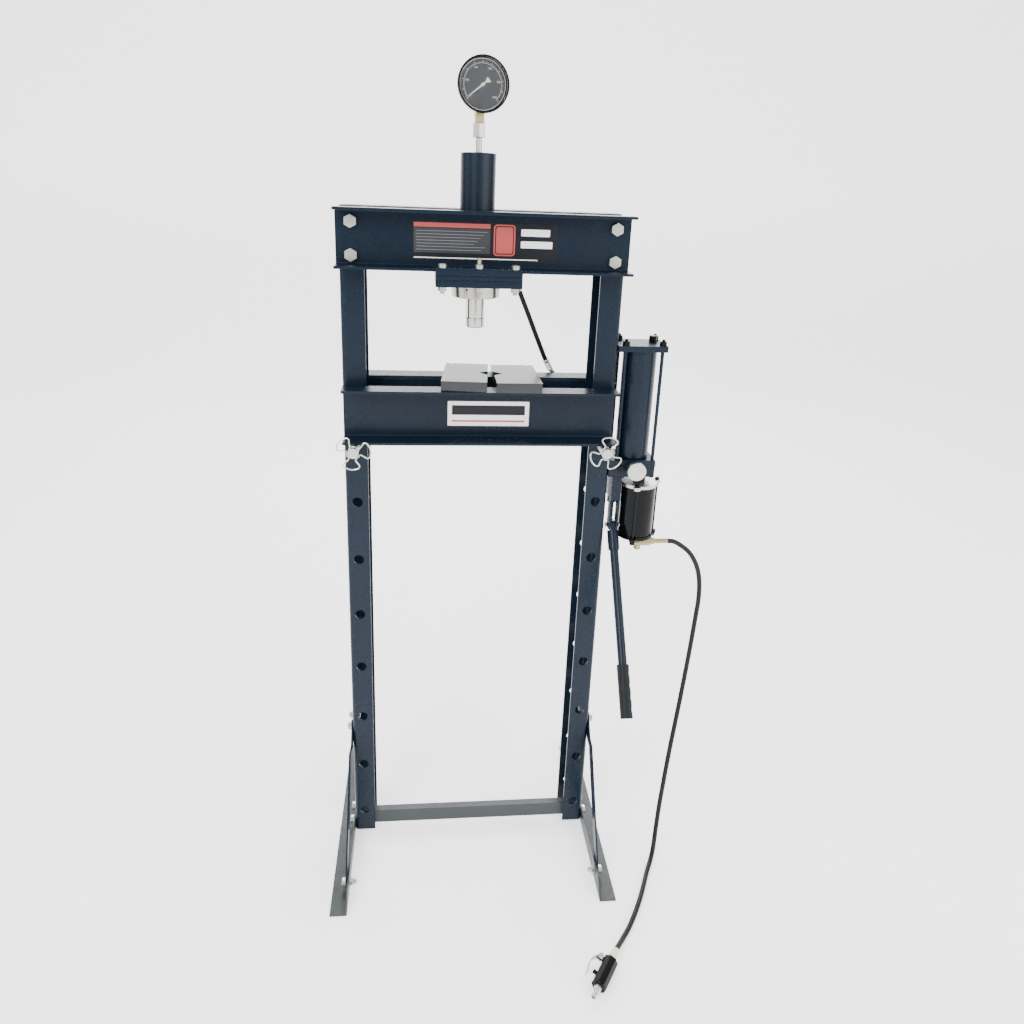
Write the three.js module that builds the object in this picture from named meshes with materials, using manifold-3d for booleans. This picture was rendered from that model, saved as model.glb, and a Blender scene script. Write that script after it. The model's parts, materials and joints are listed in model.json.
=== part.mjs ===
// Hydraulic shop press: an H frame of folded channel with a pressing cylinder in its head, a bed that
// hangs on two pins, and an air and hand pump on the right-hand post.
// Millimetres, +Z up, the operator stands on the -Y side.

import * as THREE from 'three';
import { mergeVertices } from 'three/addons/utils/BufferGeometryUtils.js';
import Module from 'manifold-3d';

const wasm = await Module();
wasm.setup();

// ---------------------------------------------------------------- driving dimensions

const GAP = 0.3; // clearance between touching pieces
const ROUND = 28; // sides of an ordinary round piece

const FRAME_WIDTH = 600; // over the two posts
const POST_FLANGE = 51;
const POST_DEPTH = 88;
const PLATE_WALL = 5.5; // folded channel wall
const BEND = 9; // outer bend radius
const POST_FOOT_GAP = 9.5; // the posts stop short of the floor
const POST_TOP = 1572;

const BEAM_HEIGHT = 119;
const BEAM_FLANGE = 57;
const HEAD_LENGTH = 611;
const HEAD_BOTTOM = 1460;
const BED_LENGTH = 598;

const PIN_RADIUS = 11;
const PIN_HOLE_RADIUS = 12;
const PIN_INSET = 25.5; // hole centre from the post's outer face
const HOLE_TOP = 1079.5; // centre of the highest hole, which holds the pin
const HOLE_PITCH = 143.8;
const HOLE_COUNT = 8;
const BED_BOTTOM = HOLE_TOP + PIN_RADIUS + GAP;
const BED_TOP = BED_BOTTOM + BEAM_HEIGHT;

const FOOT_LENGTH = 600;
const FOOT_LEG = 40;
const FOOT_WALL = 4;
const STRUT_WIDTH = 30;
const STRUT_WALL = 4;

const HEAD_X = -15; // the head has been slid a little to the left of centre
const BARREL_RADIUS = 36.5;
const BARREL_TOP = 1691;
const ROD_RADIUS = 20;
const RAM_BOTTOM = 1333;
const PLATE_LENGTH = 176;
const PLATE_HALF_DEPTH = 118;
const PLATE_LAYERS = { base: [1431, 1445.6], middle: [1445.9, 1454.2], guide: [1454.5, 1459.7] };
const GUIDE_LIP_TOP = 1469;

const GAUGE_RADIUS = 53.5;
const GAUGE_Z = 1818;
const GAUGE_TURN = 12; // degrees that the dial is turned towards the right

const PUMP_X = 361; // reservoir axis
const PUMP_BLOCK = { x: [300.6, 408], y: [-45, 45], z: [998, 1038] };
const RESERVOIR_RADIUS = 38;
const COVER = { x: [300.6, 413], y: [-45, 45], z: [1291, 1304.5] };
const MOTOR = { x: 380.5, y: -20, radius: 41, bottom: 850, top: 972 };
const LOBE_CIRCLE = 47.5;
const LEVER = { x: 322, y: -30, z: 872, angle: 38, length: 441 };

const RAD = Math.PI / 180;
const POST_X = FRAME_WIDTH / 2;
const POST_Y = POST_DEPTH / 2;
const WEB_Y = POST_Y + GAP; // back face of the beam webs

// ---------------------------------------------------------------- materials

function metal(color, roughness, metalness) {
  return new THREE.MeshStandardMaterial({ color, roughness, metalness });
}

const paint = metal(0x1d3145, 0.35, 0.2);
const footPaint = metal(0x5f6970, 0.5, 0.3);
const zinc = metal(0xb9bcb8, 0.35, 0.9);
const chrome = metal(0xd5d2cc, 0.12, 1);
const steel = metal(0x9a9c98, 0.4, 0.9);
const brass = metal(0xb9a26a, 0.35, 0.9);
const blackMetal = metal(0x15181c, 0.4, 0.4);
const rubber = metal(0x14181c, 0.6, 0);
const needleWhite = metal(0xe6e2d0, 0.5, 0);
const creamPlastic = metal(0xe8e2d0, 0.5, 0);
const clear = new THREE.MeshStandardMaterial({ color: 0xdfe8ee, transparent: true, opacity: 0.25 });

// ---------------------------------------------------------------- solids and booleans

function toSolid(geometry) {
  const bare = geometry.clone();
  bare.deleteAttribute('normal');
  bare.deleteAttribute('uv');
  const merged = mergeVertices(bare, 1e-4);
  return new wasm.Manifold(new wasm.Mesh({
    numProp: 3,
    vertProperties: new Float32Array(merged.attributes.position.array),
    triVerts: new Uint32Array(merged.index.array),
  }));
}

function toGeometry(solid) {
  const mesh = solid.getMesh();
  const geometry = new THREE.BufferGeometry();
  geometry.setAttribute('position', new THREE.BufferAttribute(new Float32Array(mesh.vertProperties), 3));
  geometry.setIndex(new THREE.BufferAttribute(new Uint32Array(mesh.triVerts), 1));
  return geometry;
}

function join(...geometries) {
  return toGeometry(geometries.map(toSolid).reduce((sum, solid) => sum.add(solid)));
}

function cut(geometry, ...tools) {
  return toGeometry(tools.map(toSolid).reduce((left, tool) => left.subtract(tool), toSolid(geometry)));
}

// ---------------------------------------------------------------- basic shapes

const AXIS_TURN = {
  x: new THREE.Matrix4().makeRotationY(Math.PI / 2),
  y: new THREE.Matrix4().makeRotationX(-Math.PI / 2),
  z: new THREE.Matrix4(),
};

function block([x0, x1], [y0, y1], [z0, z1]) {
  const geometry = new THREE.BoxGeometry(x1 - x0, y1 - y0, z1 - z0);
  return geometry.translate((x0 + x1) / 2, (y0 + y1) / 2, (z0 + z1) / 2);
}

// A round bar, or with few sides a hexagon, along the named axis between two stations.
function bar(axis, radius, [from, to], [a, b] = [0, 0], sides = ROUND) {
  const geometry = new THREE.CylinderGeometry(radius, radius, to - from, sides);
  geometry.rotateX(Math.PI / 2).applyMatrix4(AXIS_TURN[axis]);
  const middle = (from + to) / 2;
  const place = { x: [middle, a, b], y: [a, middle, b], z: [a, b, middle] }[axis];
  return geometry.translate(...place);
}

function hexBar(axis, acrossFlats, span, centre) {
  return bar(axis, acrossFlats / Math.sqrt(3), span, centre, 6);
}

// A turned piece: the profile is a list of [radius, height] pairs from bottom to top along Z.
function turned(profile, sides = ROUND) {
  const points = profile.map(([radius, height]) => new THREE.Vector2(radius, height));
  return new THREE.LatheGeometry(points, sides).rotateX(Math.PI / 2);
}

// A flat outline in the XY plane, pushed up along Z.
function slab(outline, [z0, z1]) {
  const settings = { depth: z1 - z0, bevelEnabled: false, curveSegments: 6 };
  const geometry = new THREE.ExtrudeGeometry(outline, settings);
  return geometry.translate(0, 0, z0);
}

function polygon(points) {
  return new THREE.Shape(points.map(([x, y]) => new THREE.Vector2(x, y)));
}

// A round section swept along a curve.
function sweep(curve, radius, sides, steps) {
  const section = new THREE.Shape();
  for (let i = 0; i < sides; i += 1) {
    const angle = (i * 2 * Math.PI) / sides;
    const point = [radius * Math.cos(angle), radius * Math.sin(angle)];
    if (i === 0) section.moveTo(...point);
    else section.lineTo(...point);
  }
  section.closePath();
  return new THREE.ExtrudeGeometry(section, { steps, bevelEnabled: false, extrudePath: curve });
}

// A folded channel: its web lies along x = 0, its flanges run towards +x and it is centred on y = 0.
function channel(flange, depth, length) {
  const half = depth / 2;
  const inner = half - PLATE_WALL;
  const small = BEND - PLATE_WALL;
  const shape = new THREE.Shape();
  shape.moveTo(flange, -half);
  shape.lineTo(flange, -inner);
  shape.lineTo(BEND, -inner);
  shape.absarc(BEND, -inner + small, small, -Math.PI / 2, Math.PI, true);
  shape.lineTo(PLATE_WALL, inner - small);
  shape.absarc(BEND, inner - small, small, Math.PI, Math.PI / 2, true);
  shape.lineTo(flange, inner);
  shape.lineTo(flange, half);
  shape.lineTo(BEND, half);
  shape.absarc(BEND, half - BEND, BEND, Math.PI / 2, Math.PI, false);
  shape.lineTo(0, -half + BEND);
  shape.absarc(BEND, -half + BEND, BEND, Math.PI, Math.PI * 1.5, false);
  shape.closePath();
  return new THREE.ExtrudeGeometry(shape, { depth: length, bevelEnabled: false, curveSegments: 4 });
}

// ---------------------------------------------------------------- scene helpers

const press = new THREE.Group();

function add(name, geometry, material, parent = press) {
  const mesh = new THREE.Mesh(geometry, material);
  mesh.name = name;
  parent.add(mesh);
  return mesh;
}

function group(position, parent = press) {
  const holder = new THREE.Group();
  holder.position.set(...position);
  parent.add(holder);
  return holder;
}

const SIDES = { left: -1, right: 1 };
const ENDS = { front: -1, rear: 1 };

// ---------------------------------------------------------------- posts, feet and crossbar

const FOOT_BOLT_Y = 24;
const FOOT_BOLT_Z = 26;
const STRUT_FOOT = { y: 225, z: 24 };
const STRUT_HEAD = { y: 22, z: 320 };
const HEAD_BOLT_Z = [1484, 1551];
const BOLT_HOLE = 6.6;
const HEAD_BOLT_HOLE = 8.6;

function post(side) {
  const length = POST_TOP - POST_FOOT_GAP;
  const body = channel(POST_FLANGE, POST_DEPTH, length);
  if (side > 0) body.rotateZ(Math.PI);
  body.translate(side * POST_X, 0, POST_FOOT_GAP);
  const holeX = side * (POST_X - PIN_INSET);
  const through = [-POST_Y - 5, POST_Y + 5];
  const tools = [];
  for (let i = 0; i < HOLE_COUNT; i += 1) {
    tools.push(bar('y', PIN_HOLE_RADIUS, through, [holeX, HOLE_TOP - i * HOLE_PITCH], 16));
  }
  for (const z of HEAD_BOLT_Z) tools.push(bar('y', HEAD_BOLT_HOLE, through, [holeX, z], 12));
  const web = [side * POST_X - 8, side * POST_X + 8];
  for (const end of [-1, 1]) {
    tools.push(bar('x', BOLT_HOLE, web, [end * FOOT_BOLT_Y, FOOT_BOLT_Z], 12));
    tools.push(bar('x', BOLT_HOLE, web, [end * STRUT_HEAD.y, STRUT_HEAD.z], 12));
  }
  return cut(body, ...tools);
}

// An angle iron with its upright leg against the post; that leg's ends are cut off at 45 degrees.
function foot(side) {
  const inner = POST_X + GAP;
  const half = FOOT_LENGTH / 2;
  const section = polygon([
    [0, 0],
    [FOOT_LEG, 0],
    [FOOT_LEG, FOOT_WALL],
    [FOOT_WALL, FOOT_WALL],
    [FOOT_WALL, FOOT_LEG],
    [0, FOOT_LEG],
  ]);
  const angle = new THREE.ExtrudeGeometry(section, { depth: FOOT_LENGTH, bevelEnabled: false });
  angle.rotateX(Math.PI / 2).translate(0, half, 0);
  if (side < 0) angle.rotateZ(Math.PI);
  angle.translate(side * inner, 0, 0);
  const reach = [side * POST_X - 10, side * POST_X + 60];
  const tools = [];
  for (const end of [-1, 1]) {
    const corner = polygon([
      [end * (half + 20), FOOT_WALL + 1],
      [end * (half - 1), FOOT_WALL + 1],
      [end * (half - FOOT_LEG), FOOT_LEG + 5],
      [end * (half + 20), FOOT_LEG + 5],
    ]);
    const wedge = new THREE.ExtrudeGeometry(corner, { depth: 80, bevelEnabled: false });
    wedge.rotateX(Math.PI / 2).rotateZ(Math.PI / 2).translate(reach[0], 0, 0);
    tools.push(wedge);
    tools.push(bar('x', BOLT_HOLE, reach, [end * FOOT_BOLT_Y, FOOT_BOLT_Z], 12));
    tools.push(bar('x', BOLT_HOLE, reach, [end * STRUT_FOOT.y, STRUT_FOOT.z], 12));
  }
  return cut(angle, ...tools);
}

// A flat bar from the foot up to the post, cranked near its top by the thickness of the foot.
function strut(side, end) {
  const rise = STRUT_HEAD.z - STRUT_FOOT.z;
  const run = STRUT_FOOT.y - STRUT_HEAD.y;
  const length = Math.hypot(rise, run);
  const offset = FOOT_WALL + GAP;
  const crank = [length - 70, length - 50];
  const stations = [[-13, offset], [crank[0], offset], [crank[1], 0], [length + 13, 0]];
  const outline = [
    ...stations.map(([s, x]) => [x, s]),
    ...stations.reverse().map(([s, x]) => [x + STRUT_WALL, s]),
  ];
  const flat = new THREE.ExtrudeGeometry(polygon(outline), { depth: STRUT_WIDTH, bevelEnabled: false });
  // outline x is sideways and outline y is along the bar, which is stood up along Z
  flat.rotateX(Math.PI / 2).translate(0, STRUT_WIDTH / 2, 0);
  const drilled = cut(
    flat,
    bar('x', BOLT_HOLE, [-5, 20], [0, 0], 12),
    bar('x', BOLT_HOLE, [-5, 20], [0, length], 12),
  );
  if (side < 0) drilled.rotateZ(Math.PI);
  drilled.rotateX(end * Math.atan2(run, rise));
  return drilled.translate(side * (POST_X + GAP), end * STRUT_FOOT.y, STRUT_FOOT.z);
}

function headBolt() {
  return join(
    hexBar('y', 24, [-9.6, 0], [0, 0]),
    bar('y', 8, [-1, 2 * (WEB_Y + PLATE_WALL + GAP) + 18], [0, 0], 16),
  );
}

for (const [name, side] of Object.entries(SIDES)) {
  add(`${name}_post`, post(side), paint);
  add(`${name}_foot`, foot(side), footPaint);
  for (const [end, sign] of Object.entries(ENDS)) add(`${name}_${end}_strut`, strut(side, sign), paint);
  HEAD_BOLT_Z.forEach((z, i) => {
    const bolt = add(`${name}_head_bolt_${i + 1}`, headBolt(), zinc);
    bolt.position.set(side * (POST_X - PIN_INSET), -(WEB_Y + PLATE_WALL + GAP), z);
  });
}

const CROSSBAR = { height: 38, depth: 20, front: -28, bottom: 15 };
const crossbarLength = FRAME_WIDTH - 2 * (PLATE_WALL + GAP);
const crossbarSection = polygon([
  [0, 0],
  [CROSSBAR.depth, 0],
  [CROSSBAR.depth, FOOT_WALL],
  [FOOT_WALL, FOOT_WALL],
  [FOOT_WALL, CROSSBAR.height - FOOT_WALL],
  [CROSSBAR.depth, CROSSBAR.height - FOOT_WALL],
  [CROSSBAR.depth, CROSSBAR.height],
  [0, CROSSBAR.height],
]);
const crossbar = new THREE.ExtrudeGeometry(crossbarSection, { depth: crossbarLength, bevelEnabled: false });
crossbar.rotateX(Math.PI / 2).rotateZ(Math.PI / 2);
crossbar.translate(-crossbarLength / 2, CROSSBAR.front, CROSSBAR.bottom);
add('cross_bar', crossbar, footPaint);

// ---------------------------------------------------------------- head and bed beams

// A channel lying along X with its web towards the posts and its flanges outwards.
function beam(sign, length, bottom) {
  const body = channel(BEAM_FLANGE, BEAM_HEIGHT, length);
  body.rotateX(Math.PI / 2).rotateZ(Math.PI / 2);
  body.translate(-length / 2, 0, 0);
  if (sign < 0) body.rotateZ(Math.PI);
  return body.translate(0, sign * WEB_Y, bottom + BEAM_HEIGHT / 2);
}

const headHoles = [];
for (const side of [-1, 1]) {
  for (const z of HEAD_BOLT_Z) {
    headHoles.push(bar('y', HEAD_BOLT_HOLE, [-150, 150], [side * (POST_X - PIN_INSET), z], 12));
  }
}
for (const [end, sign] of Object.entries(ENDS)) {
  add(`head_beam_${end}`, cut(beam(sign, HEAD_LENGTH, HEAD_BOTTOM), ...headHoles), paint);
  add(`bed_beam_${end}`, beam(sign, BED_LENGTH, BED_BOTTOM), paint);
}

const SPACER = { x: 232, half: 4, bottom: 8, top: 30 };
for (const [name, side] of Object.entries(SIDES)) {
  const spacer = block(
    [side * SPACER.x - SPACER.half, side * SPACER.x + SPACER.half],
    [-POST_Y, POST_Y],
    [BED_BOTTOM + SPACER.bottom, BED_TOP - SPACER.top],
  );
  add(`bed_spacer_${name}`, spacer, paint);
}

// ---------------------------------------------------------------- bed pins

const PIN_FRONT = -WEB_Y - BEAM_FLANGE - 14;
const BOSS_RADIUS = 11.5;
const WIRE_RADIUS = 1.6;
const HUB_WIRE = BOSS_RADIUS + WIRE_RADIUS + 1.4;
const PETAL_REACH = 36;
const PETALS = { left: [11, 138, 262], right: [80, 205, 310] }; // directions, bent by hand

// Bent wire that makes three petals round the boss; its two ends meet with a butt joint.
function petals(directions) {
  const points = [];
  const polar = (radius, angle) => {
    points.push(new THREE.Vector3(radius * Math.cos(angle * RAD), 0, radius * Math.sin(angle * RAD)));
  };
  const last = directions[2] - 360;
  polar(HUB_WIRE, (last + directions[0]) / 2 + 4);
  for (const middle of directions) {
    polar(HUB_WIRE, middle - 26);
    polar(HUB_WIRE + 9, middle - 29);
    polar(PETAL_REACH - 4, middle - 33);
    polar(PETAL_REACH, middle - 27);
    polar(PETAL_REACH + 1.5, middle);
    polar(PETAL_REACH, middle + 27);
    polar(PETAL_REACH - 4, middle + 33);
    polar(HUB_WIRE + 9, middle + 29);
    polar(HUB_WIRE, middle + 26);
    const next = middle === directions[2] ? directions[0] + 360 : directions[directions.indexOf(middle) + 1];
    if (middle !== directions[2]) polar(HUB_WIRE, (middle + next) / 2);
    else polar(HUB_WIRE, (middle + next) / 2 - 4);
  }
  const curve = new THREE.CatmullRomCurve3(points, false, 'centripetal');
  return sweep(curve, WIRE_RADIUS, 6, 66);
}

for (const [name, side] of Object.entries(SIDES)) {
  const x = side * (POST_X - PIN_INSET);
  const pin = join(
    bar('y', BOSS_RADIUS, [PIN_FRONT - 9, PIN_FRONT], [x, HOLE_TOP]),
    bar('y', PIN_RADIUS, [PIN_FRONT - 1, WEB_Y + BEAM_FLANGE + 6], [x, HOLE_TOP]),
  );
  add(`${name}_bed_pin`, pin, zinc);
  const handle = add(`${name}_pin_handle`, petals(PETALS[name]), zinc);
  handle.position.set(x, PIN_FRONT - 4.5, HOLE_TOP);
}

// ---------------------------------------------------------------- arbor plates

const ARBOR = { width: 98, depth: 182, height: 22 };
const ARBOR_PLACE = {
  left: { x: -33.3, y: -6, turn: -4.7 },
  right: { x: 77.8, y: -14.5, turn: 0 },
};

// A thick plate with a V cut in its inner side and a small round nick in its rear edge.
function arborPlate(side) {
  const halfWidth = ARBOR.width / 2;
  const halfDepth = ARBOR.depth / 2;
  const height = [0, ARBOR.height];
  const inward = -side * halfWidth;
  const over = [-5, ARBOR.height + 5];
  const vee = slab(polygon([
    [inward + side * 19, 0],
    [inward - side * 2, side * 19],
    [inward - side * 2, -side * 19],
  ]), over);
  const nick = bar('z', 5, over, [side * (halfWidth - 14), halfDepth + 1], 16);
  return cut(block([-halfWidth, halfWidth], [-halfDepth, halfDepth], height), vee, nick);
}

for (const [name, side] of Object.entries(SIDES)) {
  const place = ARBOR_PLACE[name];
  const plate = add(`${name}_arbor_plate`, arborPlate(side), steel);
  plate.position.set(place.x, place.y, BED_TOP + GAP);
  plate.rotation.z = place.turn * RAD;
}

// ---------------------------------------------------------------- pressing head

const head = group([HEAD_X, 0, 0]);
const halfPlate = PLATE_LENGTH / 2;
const CLAMP_X = [-halfPlate + 14, 0, halfPlate - 14];
const CLAMP_Y = 110;
const boreForBarrel = bar('z', BARREL_RADIUS + GAP, [1400, 1500]);
const clampHoles = [];
for (const x of CLAMP_X) {
  for (const y of [-CLAMP_Y, CLAMP_Y]) clampHoles.push(bar('z', 5.5, [1400, 1500], [x, y], 12));
}
const plateX = [-halfPlate, halfPlate];
const plateY = [-PLATE_HALF_DEPTH, PLATE_HALF_DEPTH];
const basePlate = block(plateX, plateY, PLATE_LAYERS.base);
add('head_base_plate', cut(basePlate, boreForBarrel, ...clampHoles), paint, head);
const middlePlate = block(plateX, plateY, PLATE_LAYERS.middle);
add('head_middle_plate', cut(middlePlate, boreForBarrel, ...clampHoles), paint, head);

const flangeTip = WEB_Y + BEAM_FLANGE + 0.7;
const guide = cut(
  block(plateX, plateY, [PLATE_LAYERS.guide[0], GUIDE_LIP_TOP]),
  block([-halfPlate - 5, halfPlate + 5], [-flangeTip, flangeTip], [PLATE_LAYERS.guide[1], GUIDE_LIP_TOP + 5]),
  boreForBarrel,
  ...clampHoles,
);
add('head_guide_plate', guide, paint, head);

const BORE = 28;
const PORT = 5;
const barrelBottom = PLATE_LAYERS.base[0] + GAP;
const barrel = turned([
  [BORE, barrelBottom],
  [BARREL_RADIUS, barrelBottom],
  [BARREL_RADIUS, BARREL_TOP - 1.5],
  [BARREL_RADIUS - 1.5, BARREL_TOP],
  [PORT, BARREL_TOP],
  [PORT, BARREL_TOP - 14],
  [BORE, BARREL_TOP - 14],
  [BORE, barrelBottom],
], 40);
add('cylinder_barrel', barrel, paint, head);

const RING = { radius: 52, bottom: 1399, top: PLATE_LAYERS.base[0] - GAP };
const spanner = [];
for (let i = 0; i < 4; i += 1) {
  const hole = bar('y', 2.5, [-RING.radius - 5, -RING.radius + 8], [0, RING.top - 12], 10);
  spanner.push(hole.rotateZ((i * 90 - 24) * RAD));
}
const ring = turned([
  [ROD_RADIUS + 0.5, RING.bottom],
  [RING.radius - 1.5, RING.bottom],
  [RING.radius, RING.bottom + 1.5],
  [RING.radius, RING.top],
  [ROD_RADIUS + 0.5, RING.top],
  [ROD_RADIUS + 0.5, RING.bottom],
], 48);
add('retaining_ring', cut(ring, ...spanner), steel, head);

const SADDLE_TOP = RAM_BOTTOM + 20.5;
const PISTON = { bottom: 1640, top: 1664, radius: BORE - 0.4 };
const rod = turned([
  [0, SADDLE_TOP - 8],
  [10, SADDLE_TOP - 8],
  [10, SADDLE_TOP + GAP],
  [ROD_RADIUS, SADDLE_TOP + GAP],
  [ROD_RADIUS, PISTON.bottom],
  [PISTON.radius, PISTON.bottom],
  [PISTON.radius, PISTON.top],
  [0, PISTON.top],
], 40);
add('piston_rod', rod, chrome, head);

const saddle = turned([
  [0, RAM_BOTTOM],
  [ROD_RADIUS - 1, RAM_BOTTOM],
  [ROD_RADIUS + 0.8, RAM_BOTTOM + 1.8],
  [ROD_RADIUS + 0.8, SADDLE_TOP],
  [10.3, SADDLE_TOP],
  [10.3, SADDLE_TOP - 8.3],
  [0, SADDLE_TOP - 8.3],
], 40);
add('ram_saddle', saddle, chrome, head);

const SPRING = { turns: 9, mean: 24, wire: 1.7, bottom: barrelBottom + 2.2, top: PISTON.bottom - 2.2 };
const springPoints = [];
for (let i = 0; i <= SPRING.turns * 8; i += 1) {
  const angle = (i * Math.PI) / 4;
  const height = SPRING.bottom + ((SPRING.top - SPRING.bottom) * i) / (SPRING.turns * 8);
  springPoints.push(new THREE.Vector3(SPRING.mean * Math.cos(angle), SPRING.mean * Math.sin(angle), height));
}
const springCurve = new THREE.CatmullRomCurve3(springPoints);
add('return_spring', sweep(springCurve, SPRING.wire, 6, SPRING.turns * 10), steel, head);

// ---------------------------------------------------------------- pressure gauge

const NIPPLE_TOP = 1720;
const NUT_TOP = 1747.3;
const STEM_TOP = 1776;
add('gauge_nipple', join(
  bar('z', 6.5, [BARREL_TOP + GAP, NIPPLE_TOP]),
  bar('z', PORT - GAP, [BARREL_TOP - 8, BARREL_TOP + 1], [0, 0], 16),
), zinc, head);
add('gauge_coupling_nut', hexBar('z', 24, [NIPPLE_TOP + GAP, NUT_TOP]), zinc, head);

const gauge = group([0, 0, 0], head);
gauge.rotation.z = GAUGE_TURN * RAD;
const STEM_HALF = 8.2;
const stemWidth = [-STEM_HALF, STEM_HALF];
add('gauge_stem', block(stemWidth, stemWidth, [NUT_TOP + GAP, STEM_TOP]), brass, gauge);

// The case is turned round its own axis, then laid so that its dial faces -Y.
const CASE = { back: 14, face: -24, rim: -29, wall: 4, lens: -26.6 };
const caseProfile = turned([
  [0, CASE.back],
  [GAUGE_RADIUS - 15, CASE.back],
  [GAUGE_RADIUS - 10, CASE.back - 4],
  [GAUGE_RADIUS - 8, CASE.rim + 16],
  [GAUGE_RADIUS - 3, CASE.rim + 11],
  [GAUGE_RADIUS, CASE.rim + 6],
  [GAUGE_RADIUS, CASE.rim + 1.5],
  [GAUGE_RADIUS - 1.5, CASE.rim],
  [GAUGE_RADIUS - CASE.wall, CASE.rim],
  [GAUGE_RADIUS - CASE.wall, CASE.face + 8],
  [0, CASE.face + 8],
].map(([radius, station]) => [radius, -station]), 48);
const stemRoom = [-STEM_HALF - GAP, STEM_HALF + GAP];
const stemPocket = block(stemRoom, stemRoom, [-80, STEM_TOP - GAUGE_Z + GAP]);
const caseBody = caseProfile.rotateX(Math.PI / 2);
add('gauge_case', cut(caseBody, stemPocket), blackMetal, gauge).position.z = GAUGE_Z;
const lens = bar('y', GAUGE_RADIUS - CASE.wall - GAP, [CASE.lens - 1, CASE.lens + 1], [0, 0], 48);
add('gauge_lens', lens, clear, gauge).position.z = GAUGE_Z;

const NEEDLE = { tip: 38, tail: 16, zeroAngle: 218 };
const needleOutline = polygon([
  [NEEDLE.tip, -0.5],
  [NEEDLE.tip, 0.5],
  [0, 1.7],
  [-7, 1.2],
  [-NEEDLE.tail, 6],
  [-NEEDLE.tail, -6],
  [-7, -1.2],
  [0, -1.7],
]);
const needleBody = join(
  slab(needleOutline, [0, 1]),
  bar('z', 3.4, [-0.8, 1.6], [0, 0], 16),
  bar('z', 2.2, [-3.4, 0.5], [0, 0], 12),
);
const needleHolder = group([0, CASE.face + 3.6, GAUGE_Z], gauge);
needleHolder.rotation.x = Math.PI / 2;
add('gauge_needle', needleBody, needleWhite, needleHolder).rotation.z = NEEDLE.zeroAngle * RAD;

// ---------------------------------------------------------------- hydraulic hose between pump and head

const HOSE_RADIUS = 5.6;
const HOSE_END = { x: 73.3, y: 95, z: 1438.3 };
const elbow = join(
  bar('x', 6, [HOSE_END.x, HOSE_END.x + 13], [HOSE_END.y, HOSE_END.z], 16),
  new THREE.SphereGeometry(7.5, 16, 10).translate(HOSE_END.x + 13, HOSE_END.y, HOSE_END.z),
  bar('z', 6, [HOSE_END.z - 12, HOSE_END.z], [HOSE_END.x + 13, HOSE_END.y], 16),
);
add('head_hose_elbow', elbow, blackMetal);

const hydraulicRoute = [
  [86.3, 95, 1424.8],
  [86.6, 96, 1416],
  [93, 102, 1399],
  [116, 108, 1346],
  [142, 111, 1285],
  [166, 115, 1232],
  [189, 119, 1196],
  [222, 122, 1160],
  [262, 122, 1124],
  [300, 116, 1085],
  [332, 103, 1049],
  [353, 84, 1026],
  [360.4, 68, 1018.7],
  [361, 58.8, 1018],
];
function curveThrough(points) {
  return new THREE.CatmullRomCurve3(points.map((point) => new THREE.Vector3(...point)), false, 'centripetal');
}
add('hydraulic_hose', sweep(curveThrough(hydraulicRoute), HOSE_RADIUS, 10, 30), rubber);

// ---------------------------------------------------------------- pump: block, reservoir and cover

const KNOB = { x: 359, z: 1020, radius: 21.5 };
const BLOCK_PORT = [PUMP_X, 1018];
const pumpBlock = join(
  block(PUMP_BLOCK.x, PUMP_BLOCK.y, PUMP_BLOCK.z),
  bar('y', 9, [40, 57.6], BLOCK_PORT, 6),
  bar('z', 14, [MOTOR.top + 8 + GAP, 1000], [MOTOR.x, MOTOR.y]),
);
add('pump_block', cut(pumpBlock, bar('y', 5.5, [-60, -20], [KNOB.x, KNOB.z], 16)), paint);

const reservoir = turned([
  [RESERVOIR_RADIUS - 3, PUMP_BLOCK.z[1] + GAP],
  [RESERVOIR_RADIUS - 1, PUMP_BLOCK.z[1] + GAP],
  [RESERVOIR_RADIUS, PUMP_BLOCK.z[1] + 4],
  [RESERVOIR_RADIUS, COVER.z[0] - GAP],
  [RESERVOIR_RADIUS - 3, COVER.z[0] - GAP],
  [RESERVOIR_RADIUS - 3, PUMP_BLOCK.z[1] + GAP],
], 40);
add('reservoir_tube', reservoir, paint).position.set(PUMP_X, 0, 0);
const FILLER = { x: 392, y: 14 };
add('reservoir_cover', cut(
  block(COVER.x, COVER.y, COVER.z),
  bar('z', 6.3, [COVER.z[0] - 5, COVER.z[1] + 5], [FILLER.x, FILLER.y], 16),
), paint);
add('filler_plug', join(
  bar('z', 6, [COVER.z[0] + 2, COVER.z[1] + GAP], [FILLER.x, FILLER.y], 16),
  bar('z', 9, [COVER.z[1] + GAP, COVER.z[1] + 14], [FILLER.x, FILLER.y], 20),
), blackMetal);

const knob = join(
  bar('y', 5, [-50, -22], [0, 0], 16),
  bar('y', 9, [-62, -45.5], [0, 0], 20),
  bar('y', KNOB.radius, [-74, -62], [0, 0], 32),
);
add('release_knob', knob, zinc).position.set(KNOB.x, 0, KNOB.z);

// ---------------------------------------------------------------- hand pump and its lever

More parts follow.
